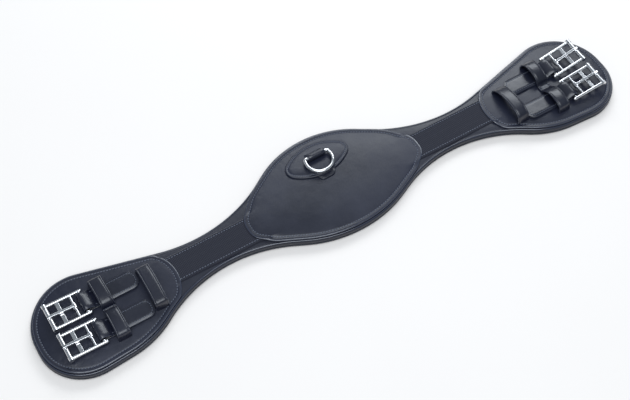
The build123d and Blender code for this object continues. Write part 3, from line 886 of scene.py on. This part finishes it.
# Keeper shapes: (y from the lobe's middle line, height of the strap's middle over the panel).
DOUBLE_LEFT = [(-36.9, -1.3), (-36.7, 0.6), (-36.4, 3.6), (-35.7, 7.2), (-33.9, 9.0), (-29, 9.5),
               (-20, 9.5), (-10.5, 8.9), (-5.4, 7.6), (-3.0, 4.6), (-1.9, 1.7), (0, 0.95),
               (1.9, 1.7), (3.1, 4.8), (5.6, 7.9), (11, 9.2), (20, 9.7), (29, 9.6), (33.9, 9.0),
               (35.7, 7.0), (36.4, 3.4), (36.7, 0.4), (36.9, -1.3)]
DOUBLE_RIGHT = [(-37.3, -1.3), (-36.8, 0.6), (-36.2, 3.8), (-34.6, 7.4), (-30.0, 9.8),
                (-22, 10.7), (-13.5, 9.6), (-7.8, 6.0), (-4.8, 2.3), (-2.6, 1.0), (0, 0.95),
                (2.8, 1.05), (5.0, 3.0), (7.8, 7.4), (13.5, 10.9), (22, 12.1), (29.5, 11.1),
                (34.4, 7.6), (36.4, 3.2), (37.0, 0.4), (37.3, -1.3)]
INNER_LEFT = [(-25.5, -1.3), (-25.2, 0.5), (-24.8, 3.6), (-24.0, 7.0), (-21.6, 8.9), (-12, 9.6),
              (2, 9.7), (15, 9.3), (21.8, 8.2), (24.2, 5.2), (25.0, 1.2), (25.5, -1.3)]
INNER_RIGHT = [(-25.6, -1.3), (-25.1, 0.8), (-24.2, 4.2), (-21.8, 8.4), (-15.5, 11.2),
               (-5, 12.1), (7, 11.5), (16.5, 8.9), (22.3, 5.0), (24.6, 1.2), (25.4, -1.3)]
KEEPERS = {
    "double_keeper_left": DOUBLE_LEFT,
    "double_keeper_right": DOUBLE_RIGHT,
    "inner_keeper_left": INNER_LEFT,
    "inner_keeper_right": INNER_RIGHT,
}
KEEPER_THICK = 1.8
KEEPER_WAVER = 0.35
KEEPER_SEAM_SIDE = 1.2


def make_keeper(node, shape):
    """Strap sewn down at its ends, and the double one at its middle too."""
    middle_x = (high(node, 0) + low(node, 0)) / 2
    width = high(node, 0) - low(node, 0)
    curve = smooth_path([(y + LOBE_MID, END_TOP + z) for y, z in shape], 0.7)
    waver = KEEPER_WAVER * np.sin(np.linspace(0, 5.0, len(curve)) + len(node))
    strap = ribbon(node + "_leather", curve, width, KEEPER_THICK,
                   lambda w, u, v: (middle_x + w, u, v), STRAP, waver=waver)
    attach(strap, "girth", "strap_leather", node)
    if node.startswith("double"):
        height = surface(strap)
        row = np.arange(-width / 2 + 1.6, width / 2 - 1.2, 1.0) + middle_x
        for edge, share in (("rear", -1), ("front", 1)):
            line = [(x, LOBE_MID + share * KEEPER_SEAM_SIDE) for x in row]
            points, normals = row_over(height, line, 0.05)
            seam = stitches(f"{node}_stitching_{edge}", points, normals, THREAD, pitch=2.4,
                            size=(1.8, 0.34), closed=False)
            attach(seam, "girth", "strap_leather")


# ======================================================================================
# Steel hardware, which keeps its CAD meshes
# ======================================================================================
def polish(piece):
    """Bright steel with soft shading and crisp edges."""
    piece.data.materials.clear()
    piece.data.materials.append(STEEL)
    piece.data.shade_smooth()
    piece.data.set_sharp_from_angle(angle=math.radians(35))


# ======================================================================================
# The girth
# ======================================================================================
make_body()
make_webbing()
centre_loop = mirrored_loop(CENTRE_HALF, CENTRE_FRONT, CENTRE_REAR, 1.5)
centre = make_panel("centre_panel_leather", centre_loop, CENTRE_TOP, 1.9, "panel_leather",
                    ("centre_panel", "centre_padding"))
make_dee(centre)
for end, side in ENDS.items():
    make_panel(f"end_panel_{end}_leather", end_loop(side, 1.5), END_TOP, 1.0, "panel_leather",
               (f"end_panel_{end}", f"end_padding_{end}"))
for chape_node in CHAPES:
    make_chape(chape_node)
for keeper_node, keeper_shape in KEEPERS.items():
    make_keeper(keeper_node, keeper_shape)
for node_name, node in frame["nodes"].items():
    if node_name.startswith("buckle_") or node_name == "dee_ring":
        polish(node)


# ======================================================================================
# Floor, light and camera
# ======================================================================================
FLOOR_DARK = (0.955, 0.902, 0.860, 1)
FLOOR_PALE = (0.978, 0.925, 0.882, 1)
FLOOR_DROP = 0.0004
SKY = (0.80, 0.90, 1.0, 1)
SKY_STRENGTH = 0.30
SOFTBOX_COLOUR = (0.90, 0.95, 1.0)
# Softboxes in metres and watts: name, place, size, power.
SOFTBOXES = [
    ("top", (-0.5, -0.9, 2.8), (2.2, 2.2), 65.0),
    ("back", (0.75, 1.0, 1.1), (1.3, 0.6), 12.5),
]
# Camera: angles in degrees, lengths in metres, lens and sensor in millimetres.
CAMERA_ELEVATION = 58.345
CAMERA_AZIMUTH = 30.881
CAMERA_DISTANCE = 1.2496
CAMERA_TARGET = (-0.0240, -0.0011, 0.0)
CAMERA_SENSOR = 36.0
CAMERA_LENS = 65.7142857


def make_stage():
    """Pale floor, pale sky and two softboxes."""
    floor_material, tree, shader = new_material("floor", FLOOR_PALE[:3], 0.85)
    where = tree.nodes.new("ShaderNodeTexCoord").outputs["Object"]
    mottle = texture(tree, "ShaderNodeTexNoise", where, Scale=3.0, Detail=2.0)
    tone = ramp(tree, mottle.outputs["Fac"], [(0.2, FLOOR_DARK), (0.8, FLOOR_PALE)])
    tree.links.new(tone.outputs["Color"], shader.inputs["Base Color"])
    bpy.ops.mesh.primitive_plane_add(size=12.0, location=(0, 0, -FLOOR_DROP))
    floor = bpy.context.object
    floor.name = "floor"
    floor.data.materials.append(floor_material)

    world = bpy.data.worlds.new("studio")
    bpy.context.scene.world = world
    world.use_nodes = True
    background = world.node_tree.nodes["Background"]
    background.inputs["Color"].default_value = SKY
    background.inputs["Strength"].default_value = SKY_STRENGTH

    for name, place, size, power in SOFTBOXES:
        light = bpy.data.lights.new(name, "AREA")
        light.shape = "RECTANGLE"
        light.size, light.size_y = size
        light.energy = power
        light.color = SOFTBOX_COLOUR
        lamp = bpy.data.objects.new(name, light)
        lamp.location = place
        lamp.rotation_euler = (-Vector(place)).to_track_quat("-Z", "Y").to_euler()
        bpy.context.scene.collection.objects.link(lamp)


def make_camera():
    """Camera at the viewing angle of the product picture."""
    elevation, azimuth = math.radians(CAMERA_ELEVATION), math.radians(CAMERA_AZIMUTH)
    looking = Vector((
        math.cos(elevation) * math.sin(azimuth),
        math.cos(elevation) * math.cos(azimuth),
        -math.sin(elevation),
    ))
    data = bpy.data.cameras.new("camera")
    data.sensor_width = CAMERA_SENSOR
    data.lens = CAMERA_LENS
    camera = bpy.data.objects.new("camera", data)
    camera.location = Vector(CAMERA_TARGET) - looking * CAMERA_DISTANCE
    camera.rotation_euler = looking.to_track_quat("-Z", "Y").to_euler()
    bpy.context.scene.collection.objects.link(camera)
    bpy.context.scene.camera = camera


make_stage()
make_camera()
bpy.context.scene.view_settings.view_transform = "Standard"
